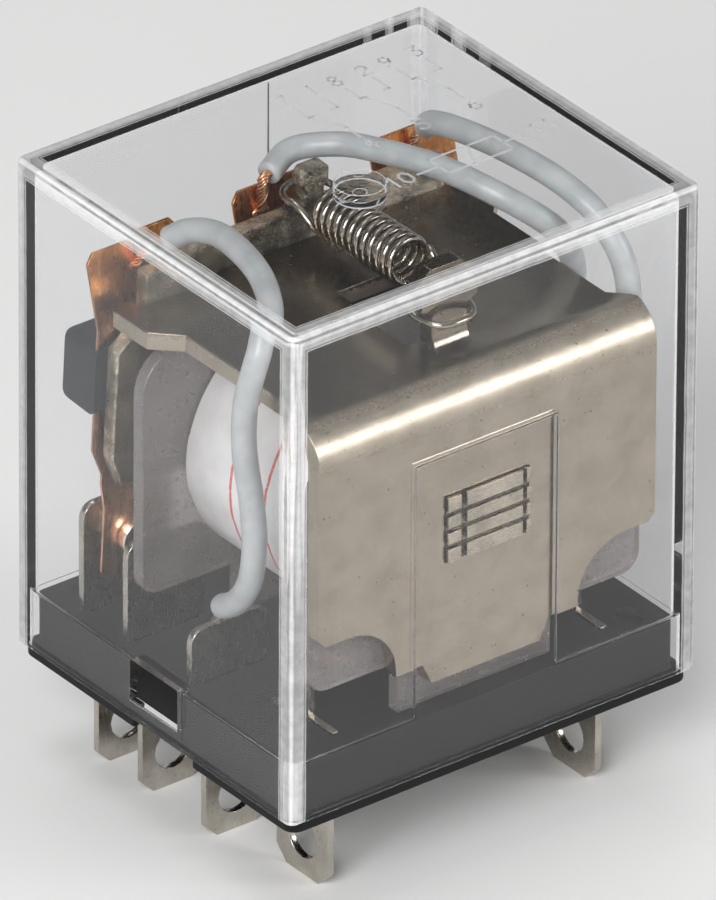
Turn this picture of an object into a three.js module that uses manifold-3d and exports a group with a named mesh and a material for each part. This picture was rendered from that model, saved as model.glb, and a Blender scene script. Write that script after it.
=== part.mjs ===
// Plug-in relay, three changeover poles, clear clip-on cover.
// Millimetres. X runs across the poles, +Y points to the contact side, +Z up.
// The origin is the centre of the base's underside, the face that seats on a socket.
import * as THREE from 'three';
import { mergeVertices } from 'three/addons/utils/BufferGeometryUtils.js';
import Module from 'manifold-3d';

const wasm = await Module();
wasm.setup();

// ---- driving dimensions ----
const PITCH = 10.6;                       // pole to pole
const POLES = [-PITCH, 0, PITCH];
const ROW = { nc: 9.4, no: 4.9, com: -1.6 };   // blade mid-planes along Y
const SHEET = 0.5;                        // terminal sheet thickness
const BLADE = { width: 4.8, tip: -7.0, corner: 0.9, hole: 1.4, holeZ: -4.4 };
const COIL_BLADE = { x: 10.4, y: -8.55, width: 5.2 };

const COVER = { width: 31.5, depth: 28, bottom: 0.8, top: 35.3, wall: 1.1, roof: 1.0 };
const COVER_SKIRT = { wall: 0.75, top: 4.75 };
const COVER_EDGE = 0.28;
const WINDOW = { y0: -2.5, y1: 2.3, z0: 2.1, z1: 5.0 };
const PANEL = { x0: -5.8, x1: 5.2, top: 22.6, depth: 0.35 };
const REAR_STRIP = { x0: -2.4, x1: 3.0, bottom: 5.5, depth: 0.2 };
const GATE = { x: -0.75, y: -1.15, radius: 1.65, height: 0.55 };

const BASE = { width: 29.4, depth: 26, top: 4.45, flange: 0.8, flangeWidth: 30.9, flangeDepth: 27.5 };
const NOTCH = { depth: 0.65, y0: -3.7, y1: 2.3 };   // where the cover's sill passes the flange
const NUB = {
  root: 14, sill: 14.9, out: 15.45, slope: 0.55,
  bottom: 1.0, step: 2.3, face: 3.4, top: 4.6, y0: -2.2, y1: 2.0,
};
const RECESS = { x: 12.6, y: -10.9, radius: 1.0, depth: 0.6 };      // moulding recess in the block's top
const EJECTOR = { x: -11.6, y: 11.4, radius: 0.85, height: 0.25 };  // raised ejector mark
const CORE_OUT = { halfWidth: 4.2, depth: 1.6, rows: [[-8.6, -6.4], [1.0, 3.2]] };   // on the underside
const FIT = 0.06;                         // clearance round a blade in its slot

const YOKE = { front: -12.8, halfWidth: 13, plate: 1.2, top: 27.2, bend: 2.6, rear: 5.72 };
const YOKE_FOOT = { bottom: 6.5, tongue: 4.2, flare: 0.7, shoulder: 8.0, bite: { x: 10.75, z: 8.4, r: 3.7 } };
const YOKE_TOP = { halfWidth: 11.6, earHalfWidth: 13.3, earFrom: 3.1, earTo: 6.8 };
const CORE = { width: 6.4, height: 4.6, z: 17.1, front: -13.1, pole: 5.8 };
const CORE_CUTS = {
  depth: 0.3, half: 0.17, pitch: 1.15, left: [-2.2, -1.75], right: [2.55, 2.85], pole: [0.55, 1.3],
};
const WINDING = { a: 9.9, b: 8.9, z: 16.75, front: -10.55, rear: 3.35, wrap: 0.25, gap: 0.05 };
const FLANGE = { plate: 1.0, bottom: 8.1, top: 25.2, frontTop: 24.2, round: 3.0, foot: 6 };

const HINGE = { y: 5.8, z: 27.2 };        // knife edge on the yoke's rear top edge
const LEAN = THREE.MathUtils.degToRad(3.7);    // the armature's rest lean, open
const ARMATURE = {
  front: 5.86, plate: 1.1, halfWidth: 13.3, neck: 11.3, bottom: 14.2, shoulder: 25.8, top: 29.3,
};
const TAB = { x: 1.05, halfWidth: 1.05, top: 32.05 };
const BLOCK = { front: 7.02, rear: 10.2, bottom: 19.3, top: 24.3, halfWidth: 14.05 };
const LEAF = { thick: 0.2, width: 6.4, tail: 4.8, bottom: 6.7, top: 30.0, corner: 0.6 };
const CONTACT = { z: 9.6, radius: 1.35, shank: 0.6 };

const SPRING = {
  rear: [0.95, 4.2, 29.75], front: [0.45, -4.9, 30.3], radius: 1.45, wire: 0.23, turns: 12.5,
};
const EYE = { x: 1.05, y: 6.2, z: 29.95, radius: 1.7 };   // the spring's rear eye, round the tab
const LUG = { x: 0.22, front: -8.5, rear: -7.3, neck: 1.35, head: 2.15, shoulder: 29.6, top: 32.0 };
const LUG_WINDOW = { x0: -2.1, x1: 3.0, y1: -0.6 };
const LEAD_RADIUS = 0.8;

// ---- materials ----
const material = (color, roughness, metalness = 0, extra = {}) =>
  new THREE.MeshStandardMaterial({ color, roughness, metalness, ...extra });
const CLEAR = material(0xe9edf2, 0.05, 0, { transparent: true, opacity: 0.3 });
const BLACK = material(0x2b2b2d, 0.5);
const NICKEL = material(0xb8ad9c, 0.3, 1);
const TIN = material(0xc9c6bd, 0.35, 1);
const STEEL = material(0xa39a8b, 0.35, 1);
const COPPER = material(0xb8764e, 0.35, 1);
const SMOKE = material(0x6b6664, 0.3, 0, { transparent: true, opacity: 0.7 });
const PAPER = material(0xe6e4e0, 0.7);
const WIRE = material(0x9c4a22, 0.4, 0.6);
const SILVER = material(0xd4cfc6, 0.25, 1);
const GREY_PVC = material(0xb9c0c4, 0.45);

// ---- geometry helpers ----
function solid(geometry) {
  geometry.deleteAttribute('normal');
  geometry.deleteAttribute('uv');
  const merged = mergeVertices(geometry, 1e-5);
  return new wasm.Manifold(new wasm.Mesh({
    numProp: 3,
    vertProperties: new Float32Array(merged.attributes.position.array),
    triVerts: new Uint32Array(merged.index.array),
  }));
}

function box(x0, x1, y0, y1, z0, z1) {
  const g = new THREE.BoxGeometry(x1 - x0, y1 - y0, z1 - z0);
  return solid(g.translate((x0 + x1) / 2, (y0 + y1) / 2, (z0 + z1) / 2));
}

const extrude = (shape, depth, curveSegments) =>
  new THREE.ExtrudeGeometry(shape, { depth, bevelEnabled: false, curveSegments });

// A shape drawn in (x, y), swept up from z0 to z1.
const prismZ = (shape, z0, z1, segments = 3) => solid(extrude(shape, z1 - z0, segments).translate(0, 0, z0));

// A shape drawn in (x, z), swept from y0 to y1.
const prismY = (shape, y0, y1, segments = 3) =>
  solid(extrude(shape, y1 - y0, segments).rotateX(Math.PI / 2).translate(0, y1, 0));

// A shape drawn in (y, z), swept from x0 to x1.
const YZX = new THREE.Matrix4().makeBasis(
  new THREE.Vector3(0, 1, 0), new THREE.Vector3(0, 0, 1), new THREE.Vector3(1, 0, 0));
const prismX = (shape, x0, x1, segments = 3) =>
  solid(extrude(shape, x1 - x0, segments).applyMatrix4(YZX).translate(x0, 0, 0));

const cylinderZ = (x, y, z0, z1, r, sides = 20) =>
  solid(new THREE.CylinderGeometry(r, r, z1 - z0, sides).rotateX(Math.PI / 2).translate(x, y, (z0 + z1) / 2));
const cylinderY = (x, y0, y1, z, r, sides = 20) =>
  solid(new THREE.CylinderGeometry(r, r, y1 - y0, sides).translate(x, (y0 + y1) / 2, z));

function outline(points) {
  return new THREE.Shape(points.map(([a, b]) => new THREE.Vector2(a, b)));
}

// A rectangle with rounded corners; the two radii are for the low and the high corners, 0 for sharp ones.
function roundedRect(a0, a1, b0, b1, low, high = low) {
  const s = new THREE.Shape();
  const corner = (a, b, r, turn) => {
    if (r > 0) s.absarc(a, b, r, turn, turn + Math.PI / 2);
    else s.lineTo(a, b);
  };
  s.moveTo(a0 + low, b0);
  corner(a1 - low, b0 + low, low, -Math.PI / 2);
  corner(a1 - high, b1 - high, high, 0);
  corner(a0 + high, b1 - high, high, Math.PI / 2);
  corner(a0 + low, b0 + low, low, Math.PI);
  return s;
}

function ellipse(a, b, cz) {
  const s = new THREE.Shape();
  s.absellipse(0, cz, a, b, 0, Math.PI * 2);
  return s;
}

function tube(curve, radius, steps, sides = 8) {
  const ring = new THREE.Shape();
  ring.absarc(0, 0, radius, 0, Math.PI * 2);
  const options = { extrudePath: curve, steps, curveSegments: sides / 2, bevelEnabled: false };
  return solid(new THREE.ExtrudeGeometry(ring, options));
}

const route = (points) =>
  new THREE.CatmullRomCurve3(points.map((p) => new THREE.Vector3(...p)), false, 'centripetal');

const relay = new THREE.Group();

function add(name, shape, look, parent = relay) {
  const { vertProperties, triVerts } = shape.getMesh();
  const geometry = new THREE.BufferGeometry();
  geometry.setAttribute('position', new THREE.BufferAttribute(new Float32Array(vertProperties), 3));
  geometry.setIndex(new THREE.BufferAttribute(new Uint32Array(triVerts), 1));
  geometry.computeVertexNormals();
  const mesh = new THREE.Mesh(geometry, look);
  mesh.name = name;
  parent.add(mesh);
  return mesh;
}

// ---- base: a thick block with a thin flange, slots for eleven blades, and a latch nub on each side ----
function slot(x, y, alongX, width) {
  const a = width / 2 + FIT;
  const b = SHEET / 2 + FIT;
  return alongX
    ? box(x - a, x + a, y - b, y + b, -1, BASE.top + 1)
    : box(x - b, x + b, y - a, y + a, -1, BASE.top + 1);
}

function base() {
  const fw = BASE.flangeWidth / 2;
  const fd = BASE.flangeDepth / 2;
  let body = prismZ(roundedRect(-fw, fw, -fd, fd, 0.9), 0, BASE.flange);
  const block = roundedRect(-BASE.width / 2, BASE.width / 2, -BASE.depth / 2, BASE.depth / 2, 0.8);
  body = body.add(prismZ(block, 0, BASE.top));
  for (const side of [-1, 1]) {
    const notch = [side * (fw - NOTCH.depth), side * (fw + 1)].sort((p, q) => p - q);
    body = body.subtract(box(notch[0], notch[1], NOTCH.y0, NOTCH.y1, -1, BASE.flange + 0.4));
    const nub = outline([
      [NUB.root, NUB.bottom], [NUB.sill, NUB.bottom], [NUB.sill, NUB.step], [NUB.out, NUB.step],
      [NUB.out, NUB.face], [NUB.out - NUB.slope, NUB.top], [NUB.root, NUB.top],
    ].map(([x, z]) => [side * x, z]));
    body = body.add(prismY(nub, NUB.y0, NUB.y1));
  }
  body = body.subtract(cylinderZ(RECESS.x, RECESS.y, BASE.top - RECESS.depth, BASE.top + 1, RECESS.radius));
  body = body.add(cylinderZ(EJECTOR.x, EJECTOR.y, BASE.top - 0.5, BASE.top + EJECTOR.height, EJECTOR.radius));
  for (const [y0, y1] of CORE_OUT.rows) {
    body = body.subtract(box(-CORE_OUT.halfWidth, CORE_OUT.halfWidth, y0, y1, -1, CORE_OUT.depth));
  }
  for (const x of POLES) {
    for (const y of Object.values(ROW)) body = body.subtract(slot(x, y, true, BLADE.width));
  }
  for (const side of [-1, 1]) {
    body = body.subtract(slot(side * COIL_BLADE.x, COIL_BLADE.y, false, COIL_BLADE.width));
  }
  return body;
}
add('base', base(), BLACK);

// ---- cover: clear shell, thinner skirt, latch windows, a clearance recess for the core end ----
function cover() {
  const w = COVER.width / 2;
  const d = COVER.depth / 2;
  const bevelled = new THREE.ExtrudeGeometry(
    roundedRect(-w + COVER_EDGE, w - COVER_EDGE, -d + COVER_EDGE, d - COVER_EDGE, 0.3),
    {
      depth: COVER.top - COVER_EDGE * 2,
      bevelThickness: COVER_EDGE,
      bevelSize: COVER_EDGE,
      bevelSegments: 2,
      curveSegments: 3,
    });
  let shell = solid(bevelled.translate(0, 0, COVER_EDGE));
  shell = shell.subtract(box(-w - 1, w + 1, -d - 1, d + 1, -1, COVER.bottom));
  const inner = (wall, z1) => {
    const shape = roundedRect(-w + wall, w - wall, -d + wall, d - wall, 0.5);
    return prismZ(shape, -1, z1);
  };
  shell = shell.subtract(inner(COVER.wall, COVER.top - COVER.roof));
  shell = shell.subtract(inner(COVER_SKIRT.wall, COVER_SKIRT.top));
  const inside = -d + COVER.wall;
  shell = shell.subtract(box(PANEL.x0, PANEL.x1, inside - PANEL.depth, inside + 1, -1, PANEL.top));
  for (const side of [-1, 1]) {
    const span = [side * (w - 2), side * (w + 1)].sort((p, q) => p - q);
    shell = shell.subtract(box(span[0], span[1], WINDOW.y0, WINDOW.y1, WINDOW.z0, WINDOW.z1));
  }
  const roof = COVER.top - COVER.roof;
  const back = d - COVER.wall;
  shell = shell.subtract(box(
    REAR_STRIP.x0, REAR_STRIP.x1, back - 1, back + REAR_STRIP.depth,
    REAR_STRIP.bottom, roof - 0.3));
  return shell.add(cylinderZ(GATE.x, GATE.y, roof - GATE.height, roof + 0.5, GATE.radius, 28));
}
add('cover', cover(), CLEAR);

// ---- the lug that holds the spring: a tongue bent up from the yoke, with a head wider than its neck ----
function springLug(top, plate) {
  const { x, front, rear, neck, head, shoulder, top: tip } = LUG;
  const side = outline([
    [front - 0.8, top - plate], [rear, top - plate], [rear, tip], [front, tip],
    [front, top + 1.0], [front - 0.1, top + 0.5], [front - 0.35, top + 0.15], [front - 0.8, top - 0.02]]);
  const face = outline([
    [x - neck, top - plate], [x + neck, top - plate], [x + neck, shoulder], [x + head, shoulder + 0.35],
    [x + head, tip - 0.9], [x + head - 1.0, tip], [x - head + 1.0, tip], [x - head, tip - 0.9],
    [x - head, shoulder + 0.35], [x - neck, shoulder]]);
  return prismX(side, x - head - 1, x + head + 1).intersect(prismY(face, front - 2, rear + 1));
}

// ---- yoke: one bent plate that carries the core in front and the armature's knife edge behind ----
function yoke() {
  const { front, halfWidth: w, plate, top, bend } = YOKE;
  const L = new THREE.Shape();                       // side view, (y, z)
  const z0 = YOKE_FOOT.bottom;
  L.moveTo(front, z0);
  L.lineTo(front + plate, z0);
  L.lineTo(front + plate, top - bend);
  L.absarc(front + bend, top - bend, bend - plate, Math.PI, Math.PI / 2, true);
  L.lineTo(YOKE_TOP.earTo, top - plate);
  L.lineTo(YOKE_TOP.earTo, top);
  L.lineTo(front + bend, top);
  L.absarc(front + bend, top - bend, bend, Math.PI / 2, Math.PI);
  const bent = prismX(L, -14, 14, 6);

  const face = new THREE.Shape();                    // front view, (x, z)
  const { tongue, shoulder, flare, bite } = YOKE_FOOT;
  face.moveTo(-tongue, z0);
  face.lineTo(tongue, z0);
  face.lineTo(tongue + flare, shoulder);
  face.lineTo(bite.x - bite.r, shoulder);
  face.lineTo(bite.x - bite.r, bite.z);
  face.absarc(bite.x, bite.z, bite.r, Math.PI, Math.PI / 2, true);
  face.lineTo(w - 0.5, bite.z + bite.r);
  face.lineTo(w, bite.z + bite.r + 0.5);
  face.lineTo(w, top - bend);
  face.lineTo(w + 1, top - bend);
  face.lineTo(w + 1, top + 1);
  face.lineTo(-w - 1, top + 1);
  face.lineTo(-w - 1, top - bend);
  face.lineTo(-w, top - bend);
  face.lineTo(-w, bite.z + bite.r + 0.5);
  face.lineTo(-w + 0.5, bite.z + bite.r);
  face.lineTo(-bite.x, bite.z + bite.r);
  face.absarc(-bite.x, bite.z, bite.r, Math.PI / 2, 0, true);
  face.lineTo(-bite.x + bite.r, shoulder);
  face.lineTo(-tongue - flare, shoulder);
  const frontCut = prismY(face, front - 1, YOKE_TOP.earTo + 1, 6);

  const { halfWidth: n, earHalfWidth: e, earFrom, earTo } = YOKE_TOP;
  const plan = outline([                             // top view, (x, y)
    [-w, front - 1], [w, front - 1], [w, front + bend - 0.6], [n, front + bend + 0.8], [n, earFrom - (e - n)],
    [e, earFrom], [e, earTo - 0.3], [e - 0.3, earTo], [n + 0.15, earTo], [n + 0.15, YOKE.rear],
    [-n - 0.15, YOKE.rear], [-n - 0.15, earTo], [-e + 0.3, earTo], [-e, earTo - 0.3], [-e, earFrom],
    [-n, earFrom - (e - n)], [-n, front + bend + 0.8], [-w, front + bend - 0.6]]);
  let body = bent.intersect(frontCut).intersect(prismZ(plan, 0, top + 1));

  // window left by the lanced spring lug
  body = body.subtract(box(LUG_WINDOW.x0, LUG_WINDOW.x1, LUG.rear, LUG_WINDOW.y1, top - plate - 1, top + 1));
  body = body.add(springLug(top, plate));

  // seat of the staked core end
  const gap = 0.05;
  return body.subtract(box(-CORE.width / 2 - gap, CORE.width / 2 + gap, front - 1, front + plate + 1,
    CORE.z - CORE.height / 2 - gap, CORE.z + CORE.height / 2 + gap));
}
add('yoke', yoke(), NICKEL);

// ---- core: a rectangular bar staked into the yoke, slotted pole face with a shading ring ----
function core() {
  const { width, height, z, front, pole } = CORE;
  const { depth, half, pitch, left, right, pole: split } = CORE_CUTS;
  let body = box(-width / 2, width / 2, front, pole, z - height / 2, z + height / 2);
  for (const row of [-1, 0, 1]) {
    const level = z + row * pitch;
    body = body.subtract(box(-width, width, front - 1, front + depth, level - half, level + half));
  }
  for (const [x0, x1] of [left, right]) {
    body = body.subtract(box(x0, x1, front - 1, front + depth, z - height, z + height));
  }
  return body.subtract(box(split[0], split[1], pole - 1.2, pole + 1, z - height, z + height));
}
add('core', core(), STEEL);

function shadingRing() {
  const y1 = CORE.pole - 0.25;
  const y0 = y1 - 0.75;
  const reach = CORE.height / 2 + 0.6;
  const outer = box(0.62, CORE.width / 2 + 0.7, y0, y1, CORE.z - reach, CORE.z + reach);
  const inside = CORE.height / 2 + 0.05;
  return outer.subtract(box(1.24, CORE.width / 2 + 0.05, y0 - 1, y1 + 1, CORE.z - inside, CORE.z + inside));
}
add('shading_ring', shadingRing(), COPPER);

// ---- bobbin: two flanges with feet on a rectangular barrel ----
function bobbinFlange(halfWidth, top, y0) {
  const y1 = y0 + FLANGE.plate;
  const plate = prismY(roundedRect(-halfWidth, halfWidth, FLANGE.bottom, top, 1.4, FLANGE.round), y0, y1, 4);
  return plate.add(box(-FLANGE.foot, FLANGE.foot, y0, y1, BASE.top, FLANGE.bottom + 2));
}

function bobbin() {
  const barrel = (grow, y0, y1) => box(-CORE.width / 2 - grow, CORE.width / 2 + grow, y0, y1,
    CORE.z - CORE.height / 2 - grow, CORE.z + CORE.height / 2 + grow);
  const y0 = WINDING.front - 0.05 - FLANGE.plate;
  const y1 = WINDING.rear + 0.05;
  const crown = box(-5.4, 5.4, y1, y1 + FLANGE.plate, FLANGE.top - 2, YOKE.top - YOKE.plate - 0.05);
  const body = bobbinFlange(12.8, FLANGE.frontTop, y0).add(bobbinFlange(13.4, FLANGE.top, y1)).add(crown)
    .add(barrel(0.8, y0, y1 + 0.5));
  return body.subtract(barrel(0.05, y0 - 1, y1 + 3));
}
add('bobbin', bobbin(), SMOKE);

function ovalSleeve(outer, inner, y0, y1) {
  const shape = ellipse(WINDING.a + outer, WINDING.b + outer, WINDING.z);
  const body = prismY(shape, y0, y1, 24);
  if (inner === null) return body;
  return body.subtract(prismY(ellipse(WINDING.a + inner, WINDING.b + inner, WINDING.z), y0 - 1, y1 + 1, 24));
}

const barrelClear = 0.85;
const winding = ovalSleeve(0, null, WINDING.front, WINDING.rear).subtract(
  box(-CORE.width / 2 - barrelClear, CORE.width / 2 + barrelClear, WINDING.front - 1, WINDING.rear + 1,
    CORE.z - CORE.height / 2 - barrelClear, CORE.z + CORE.height / 2 + barrelClear));
add('coil_winding', winding, WIRE);
const wrap = ovalSleeve(WINDING.gap + WINDING.wrap, WINDING.gap, WINDING.front + 0.15, WINDING.rear - 0.1);
add('coil_wrap', wrap, PAPER);

// ---- terminals: blade below the base, post above it ----
function bladeShape(half, tip, top, corner) {
  const s = outline([
    [-half, top], [-half, tip + corner], [-half + corner, tip],
    [half - corner, tip], [half, tip + corner], [half, top]]);
  const hole = new THREE.Path();
  hole.absarc(0, BLADE.holeZ, BLADE.hole, 0, Math.PI * 2, true);
  s.holes.push(hole);
  return s;
}

const POST = { nc: 12.05, no: 11.4, com: 8.3 };
const POST_HALF = 3.0;
const MIDDLE_COM_TOP = 6.3;                  // the middle stub stays under the coil

function contactTerminal(kind, pole) {
  const y = ROW[kind];
  const x = POLES[pole];
  const top = kind === 'com' && pole === 1 ? MIDDLE_COM_TOP : POST[kind];
  const [y0, y1] = [y - SHEET / 2, y + SHEET / 2];
  const blade = prismY(bladeShape(BLADE.width / 2, BLADE.tip, BASE.top + 0.1, BLADE.corner), y0, y1, 8);
  const post = prismY(roundedRect(-POST_HALF, POST_HALF, BASE.top + 0.05, top, 0, 1.0), y0, y1);
  let body = blade.add(post);
  if (kind !== 'com') body = body.subtract(cylinderY(0, y - 1, y + 1, CONTACT.z, CONTACT.shank + 0.05, 14));
  return body.translate([x, 0, 0]);
}

for (const kind of Object.keys(ROW)) {
  POLES.forEach((x, pole) => add(`${kind}_terminal_${pole + 1}`, contactTerminal(kind, pole), TIN));
}

const COIL_PIN = { from: -0.1, to: 0.9, top: 9.6 };

function coilTerminal(side) {
  const { x, y, width } = COIL_BLADE;
  const shape = bladeShape(width / 2, BLADE.tip, BASE.top + 0.1, 1.0);
  const pin = roundedRect(COIL_PIN.from, COIL_PIN.to, BASE.top, COIL_PIN.top, 0, 0.3);
  const blade = prismX(shape, -SHEET / 2, SHEET / 2, 8);
  return blade.add(prismX(pin, -SHEET / 2, SHEET / 2)).translate([side * x, y, 0]);
}
[-1, 1].forEach((side, i) => add(`coil_terminal_${i + 1}`, coilTerminal(side), TIN));

// the fine wire from each pin to the winding
const COIL_LEAD = {
  radius: 0.12,
  path: [[10.0, -8.15, 8.6], [9.4, -8.9, 8.4], [8.3, -9.6, 8.7], [7.4, -9.9, 9.3]],
};
const coilLead = (side) =>
  tube(route(COIL_LEAD.path.map(([x, y, z]) => [side * x, y, z])), COIL_LEAD.radius, 6, 6);
[-1, 1].forEach((side, i) => add(`coil_lead_${i + 1}`, coilLead(side), COPPER));

// ---- fixed contacts, riveted through the posts ----
const rivet = (x, face, headTo, back) => {
  const [h0, h1] = [face, headTo].sort((p, q) => p - q);
  const [s0, s1] = [face, back].sort((p, q) => p - q);
  const head = cylinderY(x, h0, h1, CONTACT.z, CONTACT.radius);
  return head.add(cylinderY(x, s0 - 0.001, s1, CONTACT.z, CONTACT.shank, 14));
};
POLES.forEach((x, i) => {
  const ncFace = ROW.nc - SHEET / 2;
  const noFace = ROW.no + SHEET / 2;
  add(`nc_contact_${i + 1}`, rivet(x, ncFace - 0.01, ncFace - 0.4, ROW.nc + SHEET / 2 + 0.15), SILVER);
  add(`no_contact_${i + 1}`, rivet(x, noFace + 0.01, noFace + 0.84, ROW.no - SHEET / 2 - 0.1), SILVER);
});

// ---- armature assembly, drawn closed and then leaned open about the knife edge ----
const swing = new THREE.Group();
swing.position.set(0, HINGE.y, HINGE.z);
swing.rotation.x = LEAN;
relay.add(swing);
const inSwing = (shape) => shape.translate([0, -HINGE.y, -HINGE.z]);

function armature() {
  const { front, plate, halfWidth: w, neck: n, bottom, shoulder, top } = ARMATURE;
  const t0 = TAB.x - TAB.halfWidth;
  const t1 = TAB.x + TAB.halfWidth;
  const waist = 0.3;                                 // the tab narrows where the spring's eye sits
  const face = outline([
    [-w + 0.8, bottom], [w - 0.8, bottom], [w, bottom + 2.2], [w, shoulder - 1.6], [n, shoulder], [n, top],
    [t1 + 0.6, top], [t1 - waist, top + 0.3], [t1 - waist, top + 1.2], [t1, top + 1.5],
    [t1, TAB.top - 0.3], [t1 - 0.3, TAB.top], [t0 + 0.3, TAB.top], [t0, TAB.top - 0.3],
    [t0, top + 1.5], [t0 + waist, top + 1.2], [t0 + waist, top + 0.3], [t0 - 0.6, top],
    [-n, top], [-n, shoulder], [-w, shoulder - 1.6], [-w, bottom + 2.2]]);
  return prismY(face, front, front + plate);
}
add('armature', inSwing(armature()), NICKEL, swing);

// side view of a contact leaf, (y, z): tail down, through the block, top leaning back
const LEAF_Y = { tail: 6.95, block: 7.36, top: 8.9 };
function leafProfile(grow) {
  const h = LEAF.thick / 2 + grow;
  const { tail, block, top } = LEAF_Y;
  const spine = [[tail, LEAF.bottom], [tail, 12.2], [block, 13.8], [block, 25.4], [top, LEAF.top]];
  const side = (s) => spine.map(([y, z]) => [y + s * h, z]);
  return outline([...side(1), ...side(-1).reverse()]);
}

function insulator() {
  const { front, rear, bottom, top, halfWidth: w } = BLOCK;
  const side = roundedRect(front, rear, bottom, top, 0.5);
  let body = prismX(side, -w, w);
  body = body.intersect(prismY(roundedRect(-w, w, bottom - 1, top, 0.3, 0.9), front - 1, rear + 1));
  for (const x of POLES) {
    const s = LEAF.width / 2 + 0.05;
    body = body.subtract(box(x - s, x + s, LEAF_Y.block - 0.15, LEAF_Y.block + 0.15, bottom - 1, top + 1));
  }
  return body;
}
add('armature_insulator', inSwing(insulator()), BLACK, swing);

function leaf() {
  const half = LEAF.width / 2;
  const waist = LEAF.tail / 2;
  const { bottom, top, corner } = LEAF;
  const plan = outline([                             // front view, (x, z)
    [-1.6, bottom], [1.6, bottom], [waist, bottom + 0.8], [waist, 14.5], [half, 16.5],
    [half, top - corner], [half - corner, top + 0.1], [-half + corner, top + 0.1], [-half, top - corner],
    [-half, 16.5], [-waist, 14.5], [-waist, bottom + 0.8]]);
  const body = prismX(leafProfile(0), -5, 5).intersect(prismY(plan, 0, 12));
  return body.subtract(cylinderY(0, 0, 12, CONTACT.z, CONTACT.shank + 0.05, 14));
}

function movingContact() {
  const y = LEAF_Y.tail;
  const h = LEAF.thick / 2;
  return cylinderY(0, y - h - 0.78, y - h - 0.02, CONTACT.z, CONTACT.radius)
    .add(cylinderY(0, y + h + 0.02, y + h + 0.45, CONTACT.z, CONTACT.radius))
    .add(cylinderY(0, y - h - 0.1, y + h + 0.1, CONTACT.z, CONTACT.shank, 14));
}
POLES.forEach((x, i) => {
  add(`contact_spring_${i + 1}`, inSwing(leaf()).translate([x, 0, 0]), COPPER, swing);
  add(`moving_contact_${i + 1}`, inSwing(movingContact()).translate([x, 0, 0]), SILVER, swing);
});

// ---- return spring: an eye round the armature's tab, close coils, a long eye round the lug's neck ----
const FRONT_EYE = [
  [1.95, -6.3, 29.4], [2.12, -7.6, 29.2], [1.75, -8.9, 29.15], [0.95, -9.45, 29.15], [-0.5, -9.45, 29.15],
  [-1.3, -8.9, 29.15], [-1.68, -7.6, 29.2], [-1.5, -6.8, 29.25]];
const EYE_STEPS = 12;
const TURN_STEPS = 10;

function springPath() {
  const points = [];
  for (let i = 0; i < EYE_STEPS; i += 1) {
    const a = THREE.MathUtils.degToRad(-45 + (270 * i) / EYE_STEPS);
    points.push([EYE.x + EYE.radius * Math.cos(a), EYE.y + EYE.radius * Math.sin(a), EYE.z]);
  }
  const steps = Math.round(SPRING.turns * TURN_STEPS);
  const start = THREE.MathUtils.degToRad(210);
  for (let i = 0; i <= steps; i += 1) {
    const s = i / steps;
    const a = start + s * SPRING.turns * 2 * Math.PI;
    const [x, y, z] = SPRING.rear.map((v, k) => THREE.MathUtils.lerp(v, SPRING.front[k], s));
    points.push([x + SPRING.radius * Math.cos(a), y, z + SPRING.radius * Math.sin(a)]);
  }
  return [...points, ...FRONT_EYE];
}
const SPRING_STEPS = 210;
add('return_spring', tube(route(springPath()), SPRING.wire, SPRING_STEPS, 6), STEEL);

// ---- flexible leads from the common terminals to the tops of the contact leaves ----
const LEAD_ROUTES = [
  [
    [-9.8, 6.3, 30.4], [-9.2, 5.0, 31.4], [-8.8, 2.8, 32.1], [-9.3, -0.3, 32.5], [-10.2, -3.6, 32.5],
    [-11.5, -6.3, 32.0], [-12.6, -7.4, 30.8], [-13.0, -7.3, 29.3], [-13.1, -6.6, 26.6], [-13.1, -6.5, 23.4],
    [-13.0, -7.1, 20.0], [-12.9, -7.3, 17.0], [-12.6, -6.4, 13.7], [-12.1, -4.4, 11.2], [-11.6, -2.3, 9.7],
  ],
  [
    [-0.9, 7.9, 31.2], [1.5, 8.7, 31.7], [3.8, 7.2, 32.0], [5.0, 4.8, 32.3], [6.7, 0.6, 32.4],
    [8.3, -3.3, 31.7], [10.8, -5.3, 29.6], [12.7, -4.7, 26.9], [13.2, -4.0, 23.0], [13.2, -3.8, 18.0],
    [13.1, -3.9, 12.0], [12.4, -4.2, 8.3], [10.2, -4.4, 6.0], [6.6, -4.3, 5.5], [3.2, -3.9, 5.5],
    [1.2, -3.1, 5.5],
  ],
  [
    [10.6, 7.0, 31.0], [10.3, 5.8, 31.9], [10.4, 3.4, 32.5], [11.0, 0.1, 32.6], [11.8, -4.4, 32.2],
    [12.5, -7.6, 31.0], [13.0, -9.2, 29.0], [13.3, -9.6, 26.0], [13.3, -9.3, 22.0], [13.1, -8.9, 17.5],
    [12.3, -7.9, 13.5], [11.3, -6.0, 11.2], [11.0, -3.6, 9.9], [10.9, -2.3, 9.6],
  ],
];
LEAD_ROUTES.forEach((points, i) => add(`lead_wire_${i + 1}`, tube(route(points), LEAD_RADIUS, 26), GREY_PVC));

export default relay;
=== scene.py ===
import math
import random

import bmesh
import bpy
from mathutils import Matrix, Vector


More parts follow.
